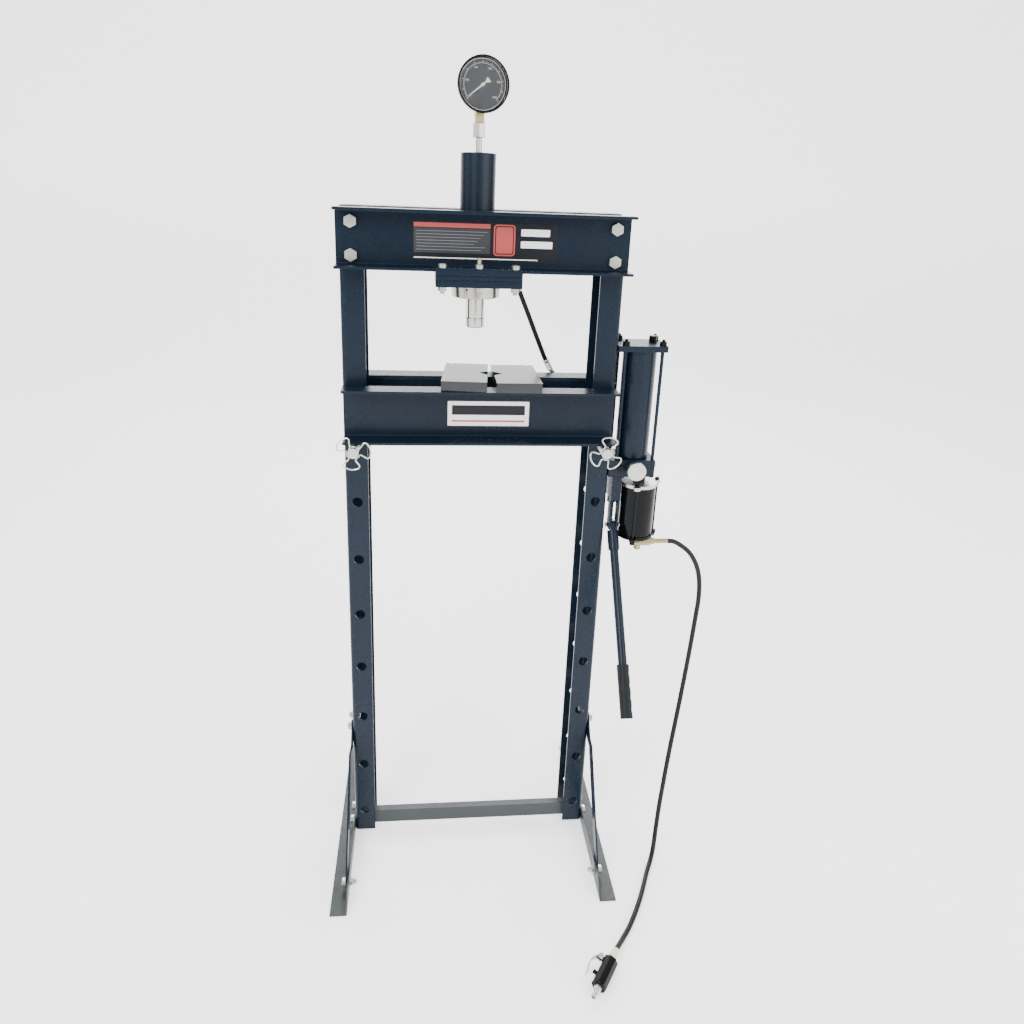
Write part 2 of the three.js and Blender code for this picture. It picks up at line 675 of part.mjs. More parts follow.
const PLUNGER = { y: -5, radius: 6, bottom: 880.5, top: 978 };
const FORK_HALF = 11; // half the width over the two ears
const EAR = 4;
const lowFork = LEVER.z - 8;
const pumpCylinder = cut(
  join(
    block([LEVER.x - FORK_HALF, LEVER.x + FORK_HALF], [-44, 10], [938, PUMP_BLOCK.z[0] - GAP]),
    bar('z', 11, [922, 940], [LEVER.x, PLUNGER.y], 20),
    block([LEVER.x - FORK_HALF, LEVER.x - FORK_HALF + EAR], [-42, -20], [lowFork, 940]),
    block([LEVER.x + FORK_HALF - EAR, LEVER.x + FORK_HALF], [-42, -20], [lowFork, 940]),
    bar('x', 5, [LEVER.x - FORK_HALF - 4, LEVER.x + FORK_HALF + 4], [LEVER.y, LEVER.z], 16),
  ),
  bar('z', PLUNGER.radius + GAP, [915, PLUNGER.top + 16], [LEVER.x, PLUNGER.y], 16),
);
add('hand_pump_cylinder', pumpCylinder, paint);
const plunger = bar('z', PLUNGER.radius, [PLUNGER.bottom, PLUNGER.top], [LEVER.x, PLUNGER.y], 16);
add('hand_pump_plunger', plunger, steel);

const lever = group([LEVER.x, LEVER.y, LEVER.z]);
lever.rotation.x = -LEVER.angle * RAD;
const TUBE_RADIUS = 10;
const SOCKET = { top: -16, bottom: -62, radius: 13.2 };
const GRIP = { top: -325, bottom: -LEVER.length, radius: 13.8 };
const LUG_REACH = PLUNGER.y - LEVER.y;
const boss = [-5.8, 5.8];
const tail = join(
  bar('x', 6.5, boss, [LUG_REACH, 0], 16),
  block(boss, [4, LUG_REACH], [-4.5, 5]),
).rotateX(LEVER.angle * RAD);
const socket = cut(
  join(
    bar('x', 9.5, boss, [0, 0], 20),
    block(boss, [-8, 8], [SOCKET.top - 4, 0]),
    bar('z', SOCKET.radius, [SOCKET.bottom, SOCKET.top], [0, 0]),
    tail,
  ),
  bar('x', 5.3, [-20, 20], [0, 0], 16),
  bar('z', TUBE_RADIUS + GAP, [SOCKET.bottom - 5, SOCKET.top - 6], [0, 0]),
);
add('lever_socket', socket, paint, lever);
const tube = cut(
  bar('z', TUBE_RADIUS, [GRIP.bottom + 8, SOCKET.top - 6 - GAP], [0, 0]),
  bar('z', TUBE_RADIUS - 2.2, [GRIP.bottom, SOCKET.top], [0, 0], 20),
);
add('lever_tube', tube, paint, lever);
const scallops = [];
for (let i = 0; i < 4; i += 1) {
  scallops.push(bar('y', 14, [-20, 20], [GRIP.radius + 11.2, GRIP.top - 21 - 25.4 * i], 20));
}
const grip = cut(
  bar('z', GRIP.radius, [GRIP.bottom, GRIP.top], [0, 0]),
  bar('z', TUBE_RADIUS + GAP, [GRIP.bottom + 7, GRIP.top + 5], [0, 0]),
  ...scallops,
);
add('lever_grip', grip, rubber, lever);

// ---------------------------------------------------------------- air motor

// A round flange with three lobes, one for each tie rod.
const LOBE_START = 251;
function lobedFlange([z0, z1]) {
  const outline = [bar('z', MOTOR.radius + 2, [z0, z1], [0, 0], 40)];
  for (let i = 0; i < 3; i += 1) {
    const angle = (LOBE_START + 120 * i) * RAD;
    outline.push(bar('z', 8.5, [z0, z1], [LOBE_CIRCLE * Math.cos(angle), LOBE_CIRCLE * Math.sin(angle)], 16));
  }
  return join(...outline);
}

const motor = group([MOTOR.x, MOTOR.y, 0]);
add('motor_top_flange', lobedFlange([MOTOR.top, MOTOR.top + 8]), zinc, motor);
add('motor_bottom_flange', lobedFlange([MOTOR.bottom - 8, MOTOR.bottom]), blackMetal, motor);
const motorTube = cut(
  bar('z', MOTOR.radius, [MOTOR.bottom + GAP, MOTOR.top - GAP], [0, 0], 44),
  bar('z', MOTOR.radius - 3, [MOTOR.bottom - 5, MOTOR.top + 5], [0, 0], 32),
);
add('motor_tube', motorTube, blackMetal, motor);

const FITTING = { x: 391, y: MOTOR.y, z: 823 };
const FERRULE_END = FITTING.x + 74;
const airFitting = join(
  bar('z', 8, [FITTING.z - 19, MOTOR.bottom - 8 - GAP], [FITTING.x, FITTING.y], 20),
  hexBar('x', 19, [FITTING.x - 8, FITTING.x + 30], [FITTING.y, FITTING.z]),
  hexBar('x', 14, [FITTING.x + 29, FITTING.x + 40], [FITTING.y, FITTING.z]),
  bar('x', 6, [FITTING.x + 39, FERRULE_END], [FITTING.y, FITTING.z], 16),
);
add('air_fitting', airFitting, brass);

// ---------------------------------------------------------------- air hose and the valve on its end

const AIR_HOSE_RADIUS = 6;
const airRoute = [
  [FERRULE_END + 1.2, -20, 823],
  [481, -20, 821],
  [498, -20, 812],
  [522, -20, 793],
  [541, -20, 766],
  [553, -20, 736],
  [559, -21, 704],
  [560.5, -24, 661],
  [557, -28, 615],
  [549, -38, 536],
  [538, -52, 454],
  [523, -72, 363],
  [507, -93, 273],
  [494, -111, 185],
  [484, -126, 110],
  [476, -143, 57],
  [466, -167, 23],
  [455, -189, 10.5],
  [437, -223, 6.8],
  [405, -290, 6.3],
  [380.5, -335, 6.3],
  [354.5, -377, 6.6],
  [331, -409, 9],
  [316, -430, 14],
  [308.5, -440.5, 17],
];
add('air_hose', sweep(curveThrough(airRoute), AIR_HOSE_RADIUS, 10, 78), rubber);

// The valve lies on the floor on its side: local +X runs away from the hose and local +Z, the side of
// its lever, is rolled over towards the left.
const VALVE = { x: 308, y: -441.2, z: 17.3, heading: Math.atan2(-109.3, -75.3), roll: 70 };
const valve = group([VALVE.x, VALVE.y, VALVE.z]);
valve.rotation.set(VALVE.roll * RAD, 0, VALVE.heading, 'ZYX');
const RELIEF_LENGTH = 33;
const relief = turned([
  [0, 1.2],
  [6.6, 1.2],
  [10.5, RELIEF_LENGTH],
  [0, RELIEF_LENGTH],
], 20).rotateY(Math.PI / 2);
add('strain_relief', relief, creamPlastic, valve);
const BODY_RADIUS = 17;
const VALVE_END = RELIEF_LENGTH + 70;
const TRIGGER = { x: RELIEF_LENGTH + 10, z: 22, half: 8 };
const valveBody = join(
  bar('x', BODY_RADIUS, [RELIEF_LENGTH + GAP, VALVE_END], [0, 0], 8).rotateX(22.5 * RAD),
  block([TRIGGER.x - 5, TRIGGER.x + 5], [-3, 3], [10, TRIGGER.z + 3]),
  bar('z', 4.5, [10, TRIGGER.z + 2], [TRIGGER.x + 38, 0], 12),
);
const triggerHole = bar('y', 2.3, [-10, 10], [TRIGGER.x, TRIGGER.z], 12);
add('air_valve_body', cut(valveBody, triggerHole), blackMetal, valve);

// A bent strip reaches over the valve's button, and two cheeks under its rear end hold the hinge pin.
const strip = polygon([
  [-5, 3.4],
  [2, 5],
  [20, 15],
  [28, 16],
  [54, 10],
  [58, 10.4],
  [58, 12],
  [54, 11.8],
  [28, 17.8],
  [19, 16.8],
  [1, 6.8],
  [-5, 5.2],
]);
const stripSolid = new THREE.ExtrudeGeometry(strip, { depth: 2 * TRIGGER.half, bevelEnabled: false });
stripSolid.rotateX(Math.PI / 2).translate(0, TRIGGER.half, 0);
const trigger = join(
  stripSolid,
  block([-5, 5], [3.4, TRIGGER.half], [-4, 5]),
  block([-5, 5], [-TRIGGER.half, -3.4], [-4, 5]),
  bar('y', 1.9, [-6, 6], [0, 0], 12),
);
add('air_valve_lever', trigger, zinc, valve).position.set(TRIGGER.x, 0, TRIGGER.z);
const nipple = turned([
  [0, 0],
  [8.5, 0],
  [8.5, 7],
  [6.2, 8],
  [6.2, 13],
  [4.6, 15],
  [4.6, 19],
  [6.2, 21],
  [6.2, 26],
  [5, 28],
  [3.2, 28],
  [3.2, 20],
  [0, 20],
], 20).rotateY(Math.PI / 2);
add('quick_nipple', nipple, zinc, valve).position.x = VALVE_END + GAP;

// ---------------------------------------------------------------- origin under the middle of the press

const CORD_NODES = ['air_hose', 'strain_relief', 'air_valve_body', 'air_valve_lever', 'quick_nipple'];
press.updateMatrixWorld(true);
const body = new THREE.Box3();
press.traverse((object) => {
  if (object.isMesh && !CORD_NODES.includes(object.name)) body.expandByObject(object, true);
});
const centre = body.getCenter(new THREE.Vector3());
press.position.set(-centre.x, -centre.y, -body.min.z);

export default press;
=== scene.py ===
# The look of the hydraulic shop press: camera, finishes, the two hoses, small hardware, gauge dial,
# labels, and then floor and light. Metres, +Z up, the operator stands on the -Y side.

import json
import math

import bpy
from mathutils import Matrix, Vector


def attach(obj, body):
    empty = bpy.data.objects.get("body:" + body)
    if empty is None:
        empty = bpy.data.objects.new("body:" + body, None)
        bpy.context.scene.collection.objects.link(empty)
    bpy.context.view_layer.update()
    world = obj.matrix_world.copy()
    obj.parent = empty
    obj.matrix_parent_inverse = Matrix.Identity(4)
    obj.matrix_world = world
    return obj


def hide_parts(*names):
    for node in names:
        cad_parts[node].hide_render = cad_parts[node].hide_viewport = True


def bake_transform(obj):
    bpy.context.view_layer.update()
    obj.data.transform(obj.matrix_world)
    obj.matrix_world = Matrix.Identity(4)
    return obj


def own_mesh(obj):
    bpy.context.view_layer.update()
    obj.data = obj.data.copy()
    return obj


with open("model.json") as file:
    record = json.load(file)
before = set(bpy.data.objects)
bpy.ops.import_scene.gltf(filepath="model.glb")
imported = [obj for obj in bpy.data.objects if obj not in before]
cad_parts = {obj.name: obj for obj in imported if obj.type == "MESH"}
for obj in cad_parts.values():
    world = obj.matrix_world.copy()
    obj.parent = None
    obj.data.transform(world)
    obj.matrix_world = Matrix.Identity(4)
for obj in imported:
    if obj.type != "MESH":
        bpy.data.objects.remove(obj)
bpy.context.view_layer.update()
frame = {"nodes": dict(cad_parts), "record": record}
nodes = frame["nodes"]
scene = bpy.context.scene

# ---------------------------------------------------------------- shared sizes

MM = 0.001
SHIFT = Vector((-62.35, 6.191, 0))  # from the middle of the press frame to the row's origin


def at(x, y, z):
    """A point of the press, in millimetres from the middle between the posts, in the row frame."""
    return (Vector((x, y, z)) + SHIFT) * MM


# ---------------------------------------------------------------- camera

CAMERA = {"place": (-123.2, -1759.9, 1635.6), "yaw": -6.37, "pitch": -18.54, "roll": -2.23}
camera_data = bpy.data.cameras.new("camera")
camera_data.sensor_width = 36
camera_data.lens = 28.28
camera_data.shift_x = 0.0022
camera_data.shift_y = -0.0581
camera = bpy.data.objects.new("camera", camera_data)
scene.collection.objects.link(camera)
turn = (
    Matrix.Rotation(math.radians(CAMERA["yaw"]), 4, "Z")
    @ Matrix.Rotation(math.radians(CAMERA["pitch"]), 4, "X")
    @ Matrix.Rotation(math.radians(CAMERA["roll"]), 4, "Y")
    @ Matrix.Rotation(math.radians(90), 4, "X")
)
camera.matrix_world = Matrix.Translation(at(*CAMERA["place"])) @ turn
scene.camera = camera

# ---------------------------------------------------------------- finishes


def node_finder(material):
    tree = material.node_tree
    shader = tree.nodes["Principled BSDF"]
    return tree, shader


def finish_material(
    name, color, rough, metallic=0.0, shine=0.5, grain=60, wear=0.12, bump=0.05, stretch=(1, 1, 1)
):
    """A paint, metal or rubber whose colour drifts a little. Fine noise varies the gloss and the surface."""
    material = bpy.data.materials.new(name)
    material.use_nodes = True
    tree, shader = node_finder(material)
    new, link = tree.nodes.new, tree.links.new
    place = new("ShaderNodeTexCoord")
    mapping = new("ShaderNodeMapping")
    mapping.inputs["Scale"].default_value = stretch
    link(place.outputs["Object"], mapping.inputs["Vector"])
    broad = new("ShaderNodeTexNoise")
    broad.inputs["Scale"].default_value = 6
    broad.inputs["Detail"].default_value = 4
    fine = new("ShaderNodeTexNoise")
    fine.inputs["Scale"].default_value = grain
    fine.inputs["Detail"].default_value = 6
    link(mapping.outputs["Vector"], broad.inputs["Vector"])
    link(mapping.outputs["Vector"], fine.inputs["Vector"])
    mix = new("ShaderNodeMix")
    mix.data_type = "RGBA"
    mix.inputs[6].default_value = (*[c * (1 - wear) for c in color], 1)
    mix.inputs[7].default_value = (*[min(1, c * (1 + wear) + wear * 0.01) for c in color], 1)
    link(broad.outputs["Fac"], mix.inputs[0])
    link(mix.outputs[2], shader.inputs["Base Color"])
    spread = new("ShaderNodeMapRange")
    spread.inputs["To Min"].default_value = max(0.03, rough * 0.75)
    spread.inputs["To Max"].default_value = min(1, rough * 1.3)
    link(fine.outputs["Fac"], spread.inputs["Value"])
    link(spread.outputs["Result"], shader.inputs["Roughness"])
    dents = new("ShaderNodeBump")
    dents.inputs["Strength"].default_value = bump
    dents.inputs["Distance"].default_value = 0.0006
    link(fine.outputs["Fac"], dents.inputs["Height"])
    link(dents.outputs["Normal"], shader.inputs["Normal"])
    shader.inputs["Metallic"].default_value = metallic
    shader.inputs["Specular IOR Level"].default_value = shine
    return material


NAVY = (0.0042, 0.0098, 0.019)
FINISHES = {
    # name: (colour, roughness, and whatever differs from a plain finish)
    "blue_paint": (NAVY, 0.26, {"shine": 0.16, "grain": 45, "wear": 0.2, "bump": 0.02}),
    "grey_paint": (
        (0.024, 0.031, 0.032), 0.4,
        {"metallic": 0.1, "shine": 0.4, "grain": 90, "wear": 0.4, "bump": 0.2},
    ),
    "zinc": ((0.5, 0.51, 0.46), 0.32, {"metallic": 0.95, "grain": 140, "wear": 0.15, "bump": 0.1}),
    "chrome": (
        (0.62, 0.6, 0.56), 0.1,
        {"metallic": 1.0, "grain": 40, "stretch": (1, 1, 12), "bump": 0.04},
    ),
    "plate_steel": (
        (0.014, 0.016, 0.018), 0.2,
        {"metallic": 0.05, "grain": 120, "wear": 0.35, "bump": 0.2},
    ),
    "ring_steel": ((0.5, 0.47, 0.42), 0.2, {"metallic": 1.0, "grain": 60, "stretch": (1, 1, 20)}),
    "spring_steel": ((0.3, 0.3, 0.3), 0.35, {"metallic": 1.0}),
    "brass": ((0.33, 0.27, 0.14), 0.36, {"metallic": 0.9, "grain": 90, "wear": 0.25}),
    "black_metal": ((0.0015, 0.002, 0.003), 0.12, {"shine": 0.12, "grain": 160, "bump": 0.02}),
    "hose_rubber": ((0.004, 0.006, 0.009), 0.4, {"shine": 0.2, "grain": 300, "bump": 0.2}),
    "grip_rubber": ((0.003, 0.005, 0.007), 0.5, {"shine": 0.2, "grain": 260, "bump": 0.3}),
    "needle_paint": ((0.86, 0.83, 0.7), 0.4, {}),
    "cream_plastic": ((0.76, 0.7, 0.56), 0.5, {}),
    "dial_face": ((0.06, 0.064, 0.07), 0.6, {"wear": 0.06}),
    "dial_print": ((0.82, 0.82, 0.8), 0.6, {"wear": 0.05}),
    "label_black": ((0.004, 0.005, 0.008), 0.3, {"shine": 0.25, "wear": 0.1}),
    "label_red": ((0.4, 0.05, 0.045), 0.4, {"wear": 0.1}),
    "label_grey": ((0.03, 0.031, 0.036), 0.45, {"shine": 0.25, "wear": 0.1}),
    "label_white": ((0.86, 0.86, 0.84), 0.4, {"wear": 0.03}),
    "label_line": ((0.16, 0.16, 0.17), 0.45, {"wear": 0.05}),
}
finishes = {
    name: finish_material(name, color, rough, **rest) for name, (color, rough, rest) in FINISHES.items()
}

glass = bpy.data.materials.new("clear_lens")
glass.use_nodes = True
glass_tree, glass_shader = node_finder(glass)
glass_shader.inputs["Transmission Weight"].default_value = 1.0
glass_shader.inputs["IOR"].default_value = 1.2
smear = glass_tree.nodes.new("ShaderNodeTexNoise")
smear.inputs["Scale"].default_value = 9
smear_range = glass_tree.nodes.new("ShaderNodeMapRange")
smear_range.inputs["To Min"].default_value = 0.0
smear_range.inputs["To Max"].default_value = 0.06
glass_tree.links.new(smear.outputs["Fac"], smear_range.inputs["Value"])
glass_tree.links.new(smear_range.outputs["Result"], glass_shader.inputs["Roughness"])
finishes["clear_lens"] = glass

slots = {entry["node"]: entry["material_slot"] for entry in frame["record"]["subparts"]}
NO_BEVEL = {"return_spring", "gauge_lens", "left_pin_handle", "right_pin_handle", "gauge_needle"}


EDGE_ROUNDING = 0.7 * MM


def soften(obj):
    """Joins the mesh's split corners and rounds its hard edges."""
    weld = obj.modifiers.new("weld", "WELD")
    weld.merge_threshold = 0.02 * MM
    bevel = obj.modifiers.new("bevel", "BEVEL")
    bevel.width = EDGE_ROUNDING
    bevel.segments = 2
    bevel.limit_method = "ANGLE"
    bevel.angle_limit = math.radians(38)
    bevel.use_clamp_overlap = True
    bevel.harden_normals = False


for name, obj in nodes.items():
    obj.data.materials.clear()
    obj.data.materials.append(finishes[slots[name]])
    for face in obj.data.polygons:
        face.use_smooth = True
    if name not in NO_BEVEL:
        soften(obj)
    weighted = obj.modifiers.new("normals", "WEIGHTED_NORMAL")
    weighted.keep_sharp = False
    weighted.weight = 80

# ---------------------------------------------------------------- small shapes


def mesh_piece(name, points, faces, finish, body, smooth=False):
    """A mesh from points in metres, in the row frame, that moves with a CAD body."""
    mesh = bpy.data.meshes.new(name)
    mesh.from_pydata([tuple(p) for p in points], [], faces)
    mesh.update()
    for face in mesh.polygons:
        face.use_smooth = smooth
    obj = bpy.data.objects.new(name, mesh)
    scene.collection.objects.link(obj)
    mesh.materials.append(finishes[finish])
    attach(obj, body)
    return obj


AXES = {
    "+X": (Vector((0, 1, 0)), Vector((0, 0, 1)), Vector((1, 0, 0))),
    "-X": (Vector((0, -1, 0)), Vector((0, 0, 1)), Vector((-1, 0, 0))),
    "+Y": (Vector((-1, 0, 0)), Vector((0, 0, 1)), Vector((0, 1, 0))),
    "-Y": (Vector((1, 0, 0)), Vector((0, 0, 1)), Vector((0, -1, 0))),
    "+Z": (Vector((1, 0, 0)), Vector((0, 1, 0)), Vector((0, 0, 1))),
    "-Z": (Vector((-1, 0, 0)), Vector((0, 1, 0)), Vector((0, 0, -1))),
}


RING = 24  # points round a turned piece or a bolt head


def rings(profile, start, axis, six_sided=()):
    """Points and faces of a piece built of rings. The profile's entries are (radius, height) in mm."""
    across, up, along = AXES[axis]
    points = []
    faces = []
    for i, (radius, height) in enumerate(profile):
        for k in range(RING):
            angle = 2 * math.pi * (k + 0.5) / RING
            reach = radius
            if i in six_sided:  # pull a round ring in to the flats of a hexagon
                sector = (angle % (math.pi / 3)) - math.pi / 6
                reach = radius * math.cos(math.pi / 6) / math.cos(sector)
            offset = across * (reach * math.cos(angle)) + up * (reach * math.sin(angle)) + along * height
            points.append(start + offset * MM)
    for i in range(len(profile) - 1):
        for k in range(RING):
            a = i * RING + k
            b = i * RING + (k + 1) % RING
            faces.append((a, b, b + RING, a + RING))
    faces.append(tuple(reversed(range(RING))))
    last = (len(profile) - 1) * RING
    faces.append(tuple(range(last, last + RING)))
    return points, faces


def turned(name, profile, start, axis, finish, body):
    """A turned piece with both ends closed."""
    points, faces = rings(profile, start, axis)
    obj = mesh_piece(name, points, faces, finish, body, smooth=True)
    obj.modifiers.new("edges", "EDGE_SPLIT").split_angle = math.radians(32)
    return obj


WASHER_THICK = 1.6


def hexagon(name, flats, height, start, axis, finish, body, washer=0):
    """A bolt head or nut with chamfered corners, and a washer under it when one is asked for."""
    corner = flats / math.sqrt(3)
    chamfer = corner * 0.09
    profile = [(washer, 0), (washer, WASHER_THICK)] if washer else []
    six_sided = (len(profile), len(profile) + 1)
    base = WASHER_THICK if washer else 0
    profile += [(corner, base), (corner, base + height - chamfer), (flats * 0.48, base + height)]
    points, faces = rings(profile, start, axis, six_sided)
    obj = mesh_piece(name, points, faces, finish, body)
    edges = obj.modifiers.new("bevel", "BEVEL")
    edges.width = 0.0003
    edges.segments = 2
    edges.limit_method = "ANGLE"
    edges.angle_limit = math.radians(30)
    return obj


def thread(name, radius, length, start, axis, finish, body, pitch=1.75):
    """The threaded end of a bolt: a stack of small ridges with a chamfered tip."""
    profile = [(radius * 0.9, 0)]
    turns = int(length / pitch)
    for i in range(turns):
        profile.append((radius, (i + 0.5) * pitch))
        profile.append((radius * 0.88, (i + 1) * pitch))
    profile.append((radius * 0.75, turns * pitch + 0.8))
    points, faces = rings(profile, start, axis)
    return mesh_piece(name, points, faces, finish, body)


def flat_label(name, x, z, y, finish, thick=0.25, radius=0.0, body="frame"):
    """A thin sheet on a face that looks towards -Y: x and z are (low, high) in mm, y is its back face."""
    corners = []
    for cx, cz, start in ((x[1], z[1], 0), (x[0], z[1], 90), (x[0], z[0], 180), (x[1], z[0], 270)):
        sx = -1 if cx == x[1] else 1
        sz = -1 if cz == z[1] else 1
        for step in range(5 if radius else 1):
            angle = math.radians(start + step * 22.5)
            corners.append(
                (cx + sx * radius + radius * math.cos(angle), cz + sz * radius + radius * math.sin(angle))
            )
    points = [at(cx, y - thick, cz) for cx, cz in corners] + [at(cx, y, cz) for cx, cz in corners]
    n = len(corners)
    faces = [tuple(reversed(range(n))), tuple(range(n, 2 * n))]
    faces += [(k, (k + 1) % n, n + (k + 1) % n, n + k) for k in range(n)]
    return mesh_piece(name, points, faces, finish, body)


# ---------------------------------------------------------------- the air hose, a free cord on the floor

AIR_ROUTE = [
    (466.2, -20, 823), (481, -20, 821), (498, -20, 812), (522, -20, 793), (541, -20, 766),
    (553, -20, 736), (559, -21, 704), (560.5, -24, 661), (557, -28, 615), (549, -38, 536),
    (538, -52, 454), (523, -72, 363), (507, -93, 273), (494, -111, 185), (484, -126, 110),
    (476, -143, 57), (466, -167, 23), (455, -189, 10.5), (437, -223, 6.8), (405, -290, 6.3),
    (380.5, -335, 6.3), (354.5, -377, 6.6), (331, -409, 9), (316, -430, 14), (308.5, -440.5, 17),
]
AIR_HOSE_DIAMETER = 12 * MM


def smooth_path(points, steps=8):
    """A smooth line through the points, in the row frame: a centripetal spline, as the CAD sweep uses."""
    line = [at(*p) for p in points]
    ends = [line[0] * 2 - line[1], *line, line[-1] * 2 - line[-2]]
    out = []
    for i in range(1, len(ends) - 2):
        p0, p1, p2, p3 = ends[i - 1 : i + 3]
        t0 = 0.0
        t1 = t0 + (p1 - p0).length ** 0.5
        t2 = t1 + (p2 - p1).length ** 0.5
        t3 = t2 + (p3 - p2).length ** 0.5
        for k in range(steps):
            t = t1 + (t2 - t1) * k / steps
            a1 = p0 * ((t1 - t) / (t1 - t0)) + p1 * ((t - t0) / (t1 - t0))
            a2 = p1 * ((t2 - t) / (t2 - t1)) + p2 * ((t - t1) / (t2 - t1))
            a3 = p2 * ((t3 - t) / (t3 - t2)) + p3 * ((t - t2) / (t3 - t2))
            b1 = a1 * ((t2 - t) / (t2 - t0)) + a2 * ((t - t0) / (t2 - t0))
            b2 = a2 * ((t3 - t) / (t3 - t1)) + a3 * ((t - t1) / (t3 - t1))
            out.append(b1 * ((t2 - t) / (t2 - t1)) + b2 * ((t - t1) / (t2 - t1)))
    out.append(line[-1])
    return out


def length_of(line):
    return sum((b - a).length for a, b in zip(line, line[1:]))


air_line = smooth_path(AIR_ROUTE)
air_curve = bpy.data.curves.new("air_hose_line", "CURVE")
air_curve.dimensions = "3D"
air_curve.bevel_depth = AIR_HOSE_DIAMETER / 2
air_curve.bevel_resolution = 5
air_curve.use_fill_caps = True
air_spline = air_curve.splines.new("POLY")
air_spline.points.add(len(air_line) - 1)
for point, place in zip(air_spline.points, air_line):
    point.co = (*place, 1)
air_spline.use_smooth = True
air_hose = bpy.data.objects.new("air_hose_cord", air_curve)
scene.collection.objects.link(air_hose)
air_curve.materials.append(finishes["hose_rubber"])
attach(air_hose, "frame")
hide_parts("air_hose")

# ---------------------------------------------------------------- the hydraulic hose between pump and head

HYDRAULIC_ROUTE = [
    (86.3, 95, 1424.8), (86.6, 96, 1416), (93, 102, 1399), (116, 108, 1346), (142, 111, 1285),
    (166, 115, 1232), (189, 119, 1196), (222, 122, 1160), (262, 122, 1124), (300, 116, 1085),
    (332, 103, 1049), (353, 84, 1026), (360.4, 68, 1018.7), (361, 58.8, 1018),
]
HYDRAULIC_RADIUS = 5.6


def tube_along(name, line, radii, finish, sides=16):
    """A mesh tube along a line, with its own radius in mm at each point."""
    points = []
    faces = []
    side = None
    for i, here in enumerate(line):
        ahead = (line[min(i + 1, len(line) - 1)] - line[max(i - 1, 0)]).normalized()
        side = ahead.orthogonal() if side is None else side - ahead * side.dot(ahead)
        side.normalize()
        other = ahead.cross(side)
        for k in range(sides):
            angle = 2 * math.pi * k / sides
            points.append(here + (side * math.cos(angle) + other * math.sin(angle)) * radii[i] * MM)
    for i in range(len(line) - 1):
        for k in range(sides):
            a = i * sides + k
            b = i * sides + (k + 1) % sides
            faces.append((a, b, b + sides, a + sides))
    faces.append(tuple(reversed(range(sides))))
    last = (len(line) - 1) * sides
    faces.append(tuple(range(last, last + sides)))
    mesh = bpy.data.meshes.new(name)
    mesh.from_pydata([tuple(p) for p in points], [], faces)
    for face in mesh.polygons:
        face.use_smooth = True
    obj = bpy.data.objects.new(name, mesh)
    scene.collection.objects.link(obj)
    mesh.materials.append(finishes[finish])
    obj.modifiers.new("edges", "EDGE_SPLIT").split_angle = math.radians(50)
    return obj


hydraulic_line = smooth_path(HYDRAULIC_ROUTE)
hydraulic = tube_along(
    "hydraulic_hose_tube", hydraulic_line, [HYDRAULIC_RADIUS] * len(hydraulic_line), "hose_rubber"
)
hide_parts("hydraulic_hose")


def even_line(line, start, end, count):
    """Places at equal distances along a line, between two distances from its start in mm."""
    out = []
    for i in range(count):
        want = (start + (end - start) * i / (count - 1)) * MM
        gone = 0.0
        for a, b in zip(line, line[1:]):
            step = (b - a).length
            if gone + step >= want or b is line[-1]:
                out.append(a.lerp(b, min(1, (want - gone) / step)))
                break
            gone += step
    return out


hose_length = length_of(hydraulic_line)
SLEEVES = {
    "head_ferrule": (1.5, 26, (6.8, 7.3, 6.8, 7.3, 6.8, 7.3, 6.6, 5.8)),
    "hose_coupler": (204, 236, (5.8, 7.6, 7.6, 6.0, 7.9, 6.0, 7.9, 6.0, 7.9, 6.0, 7.2, 5.8)),
    "pump_ferrule": (hose_length / MM - 36, hose_length / MM - 1.5, (5.8, 6.6, 7.3, 6.8, 7.3, 6.8, 7.3, 6.8)),
}
sleeve_pieces = []
for name, (start, end, radii) in SLEEVES.items():
    sleeve = tube_along(name, even_line(hydraulic_line, start, end, len(radii)), radii, "zinc", sides=20)
    sleeve_pieces.append(sleeve)
for piece in [hydraulic, *sleeve_pieces]:
    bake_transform(piece)

# ---------------------------------------------------------------- bolts of the frame

POST_X = 300
STRUT_Y = 225
STRUT_TOP = 320
SIDES = {"left": -1, "right": 1}
for side, sign in SIDES.items():
    out = "+X" if sign > 0 else "-X"
    back = "-X" if sign > 0 else "+X"
    face = sign * POST_X
    for end, y_sign in (("front", -1), ("rear", 1)):
        tag = f"{side}_{end}"
        low = at(face + sign * 4.4, y_sign * 24, 26)
        hexagon(f"{tag}_foot_bolt", 19, 7.5, low, out, "zinc", "frame", washer=12)
        foot = at(face + sign * 8.4, y_sign * STRUT_Y, 24)
        hexagon(f"{tag}_strut_foot_bolt", 18, 7.5, foot, out, "zinc", "frame", washer=11.5)
        foot_nut = at(face + sign * 0.2, y_sign * STRUT_Y, 24)
        hexagon(f"{tag}_strut_foot_nut", 18, 9, foot_nut, back, "zinc", "frame")
        foot_end = at(face - sign * 9.2, y_sign * STRUT_Y, 24)
        thread(f"{tag}_strut_foot_end", 5.8, 8, foot_end, back, "zinc", "frame")
        top = at(face + sign * 4.4, y_sign * 22, STRUT_TOP)
        hexagon(f"{tag}_strut_top_bolt", 18, 7.5, top, out, "zinc", "frame", washer=11.5)
        inner = at(face - sign * 5.6, y_sign * 22, STRUT_TOP)
        hexagon(f"{tag}_strut_top_nut", 18, 9, inner, back, "zinc", "frame")
        if end == "rear":
            inside = at(face - sign * 5.6, 24, 26)
            hexagon(f"{tag}_foot_nut", 19, 10, inside, back, "zinc", "frame")
    for i, z in enumerate((1484, 1551)):
        nut = at(sign * 274.5, 50.1, z)
        hexagon(f"{side}_head_nut_{i + 1}", 24, 13, nut, "+Y", "zinc", "frame", washer=15)

# ---------------------------------------------------------------- clamp bolts and small fittings of the head

